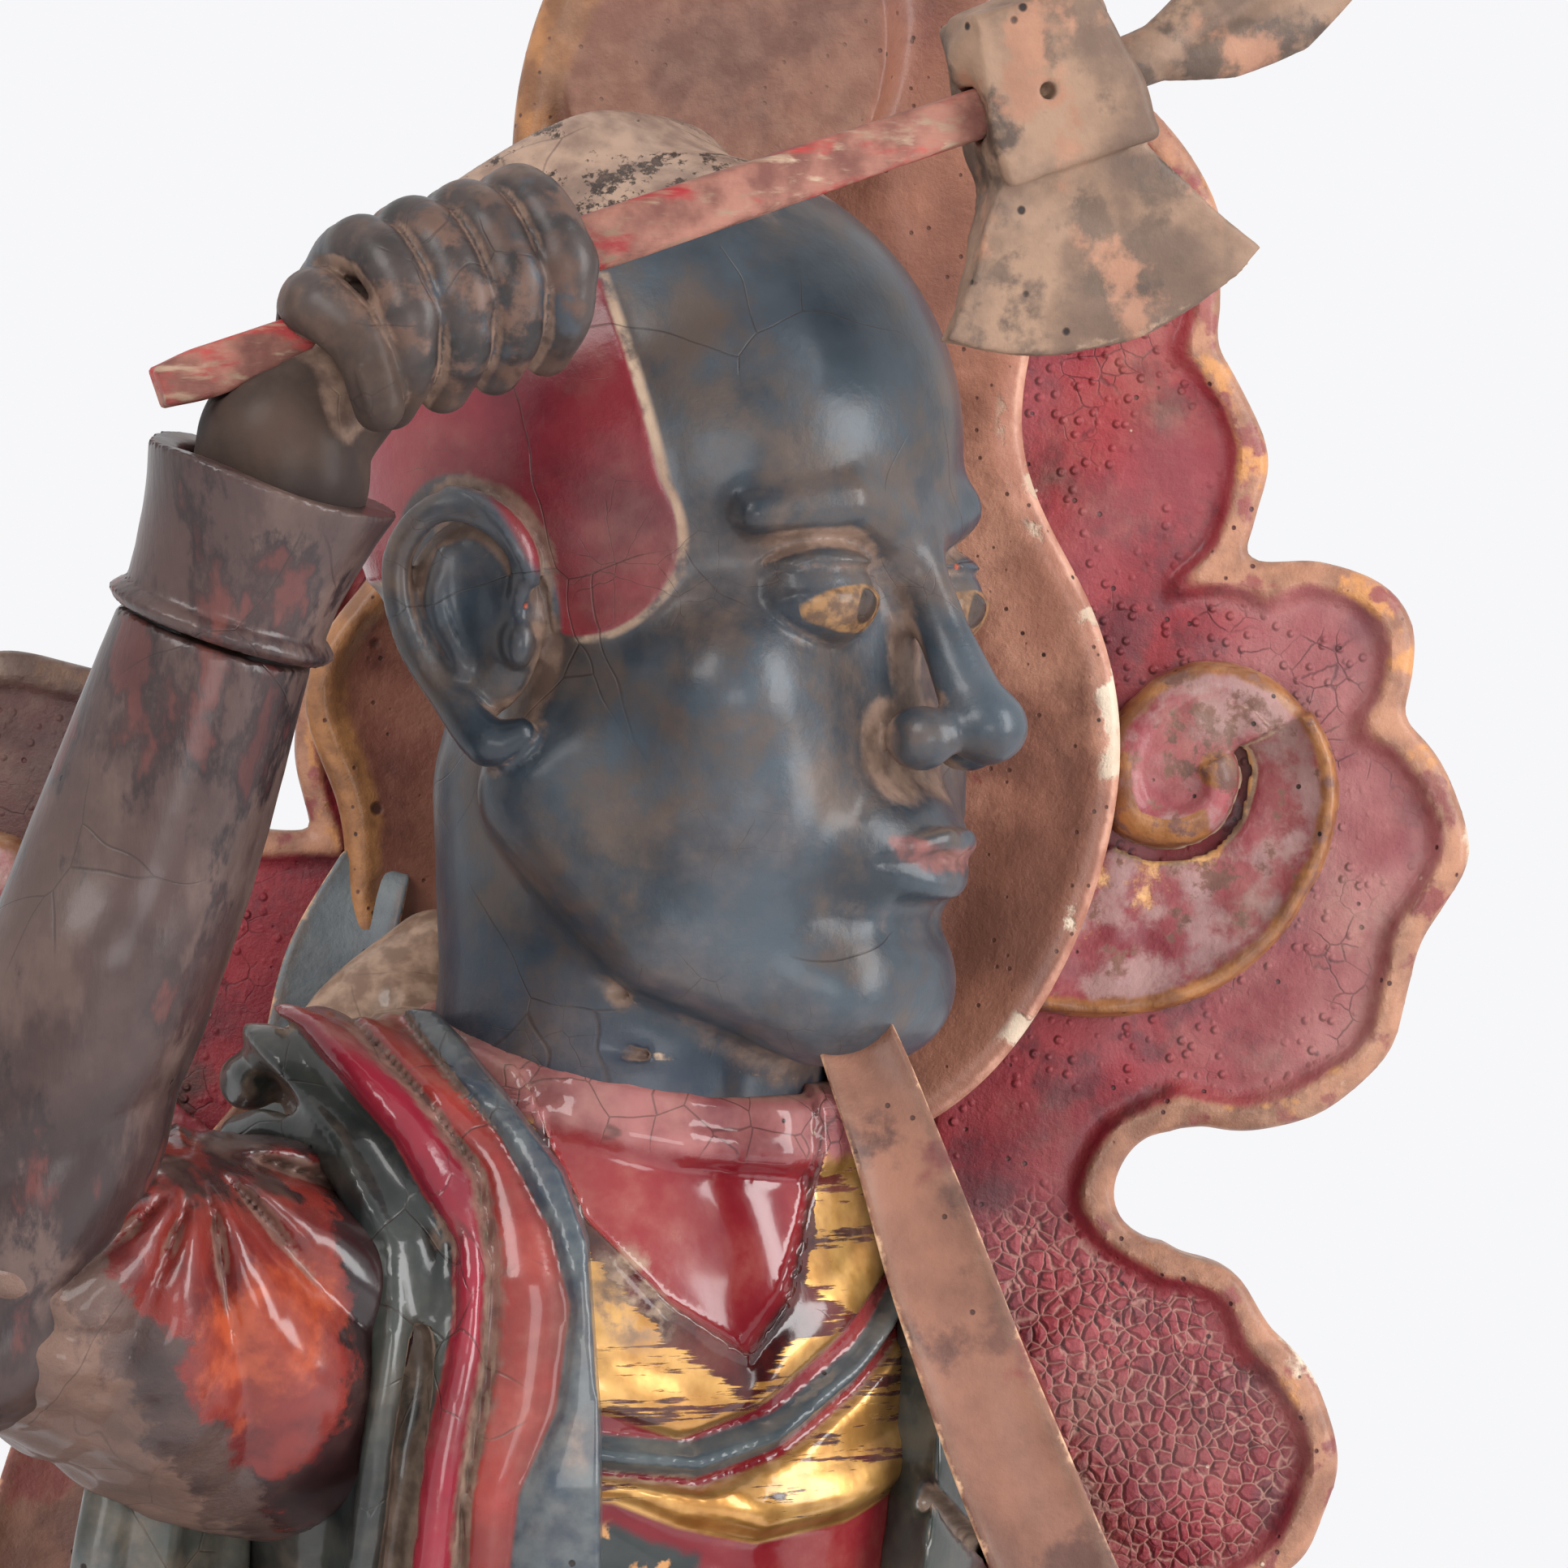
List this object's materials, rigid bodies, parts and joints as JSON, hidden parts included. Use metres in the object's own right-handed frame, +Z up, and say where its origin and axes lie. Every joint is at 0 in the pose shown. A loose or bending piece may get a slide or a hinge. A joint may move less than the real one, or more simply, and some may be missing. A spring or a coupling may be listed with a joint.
{
  "type": "carved guardian figure",
  "caption": "Lacquered and gilt carved guardian figure on a stepped plinth, raising an axe before a cloud screen and a flame-shaped scarf; it lifts off its base, and hand and axe move.",
  "frame": {"origin": "middle of the plinth's underside", "axes": "+Z up; the figure's feet point towards -Y and its left arm is on the +X side"},
  "size_m": [0.274, 0.2008, 0.7878],
  "materials": {
    "red_lacquer": "crimson lacquer, worn and dusty",
    "dark_red_boards": "dark red lacquer",
    "blue_lacquer": "glossy blue-grey lacquer",
    "copper_lacquer": "copper-brown lacquer",
    "teal_lacquer": "dark green-black lacquer",
    "gold_leaf": "gold leaf rubbed through to dark lacquer",
    "orange_lacquer": "orange-red lacquer",
    "brown_lacquer": "brown-purple lacquer, dusty",
    "axe_paint": "dusty brown paint",
    "pole_paint": "red-brown paint, worn",
    "bare_wood": "bare wood",
    "iron": "forged, rusted"
  },
  "bodies": {
    "base": {"plinth_foot_board": "red_lacquer", "plinth_cap_board": "red_lacquer", "waist_front": "dark_red_boards", "waist_back": "dark_red_boards", "waist_left": "dark_red_boards", "waist_right": "dark_red_boards", "rock_mound": "teal_lacquer", "mound_pegs": "bare_wood"},
    "figure": {"boot_right": "teal_lacquer", "boot_left": "teal_lacquer", "boot_tenons": "bare_wood", "under_robe": "red_lacquer", "coat_tail_right": "teal_lacquer", "coat_tail_left": "teal_lacquer", "apron": "gold_leaf", "belt_block": "gold_leaf", "sash_knot": "red_lacquer", "waist_tenon": "bare_wood", "chest_block": "gold_leaf", "coat_right": "teal_lacquer", "coat_left": "teal_lacquer", "head": "blue_lacquer", "neck_tenon": "bare_wood", "shoulder_dowels": "bare_wood", "elbow_dowels": "bare_wood", "upper_arm_right": "orange_lacquer", "forearm_right": "brown_lacquer", "cuff_right": "brown_lacquer", "upper_arm_left": "orange_lacquer", "forearm_left": "brown_lacquer", "cuff_left": "brown_lacquer", "hand_left": "blue_lacquer", "wrist_dowel_left": "bare_wood", "sleeve_fall_right": "teal_lacquer", "sleeve_fall_left": "teal_lacquer", "scarf_halo": "copper_lacquer", "scarf_tail_left": "copper_lacquer", "scarf_tail_right": "copper_lacquer", "halo_pins": "bare_wood", "cloud_board_middle": "red_lacquer", "cloud_board_right": "red_lacquer", "cloud_board_left": "red_lacquer", "board_dowels": "bare_wood", "scroll_right": "gold_leaf", "scroll_left": "gold_leaf", "screen_spikes": "iron"},
    "hand": {"hand_right": "blue_lacquer", "wrist_dowel_right": "bare_wood"},
    "axe": {"axe_pole": "pole_paint", "axe_head": "axe_paint", "axe_tip": "axe_paint", "axe_pin": "iron"},
    "cover": {"relic_cover": "dark_red_boards"}
  },
  "joints": [
    {"name": "figure_lift", "type": "slide", "parent": "base", "child": "figure", "axis": [0, 0, 1], "range_m": [0, 0.03]},
    {"name": "hand_turn", "type": "hinge", "parent": "figure", "child": "hand", "pos_m": [-0.059, -0.086, 0.638], "axis": [0.3261, -0.1223, 0.9374], "range_deg": [-35, 10]},
    {"name": "axe_draw", "type": "slide", "parent": "hand", "child": "axe", "axis": [0.9043, 0.273, 0.328], "range_m": [-0.03, 0.066]},
    {"name": "cover_draw", "type": "slide", "parent": "figure", "child": "cover", "axis": [0, 1, 0], "range_m": [0, 0.03]}
  ]
}
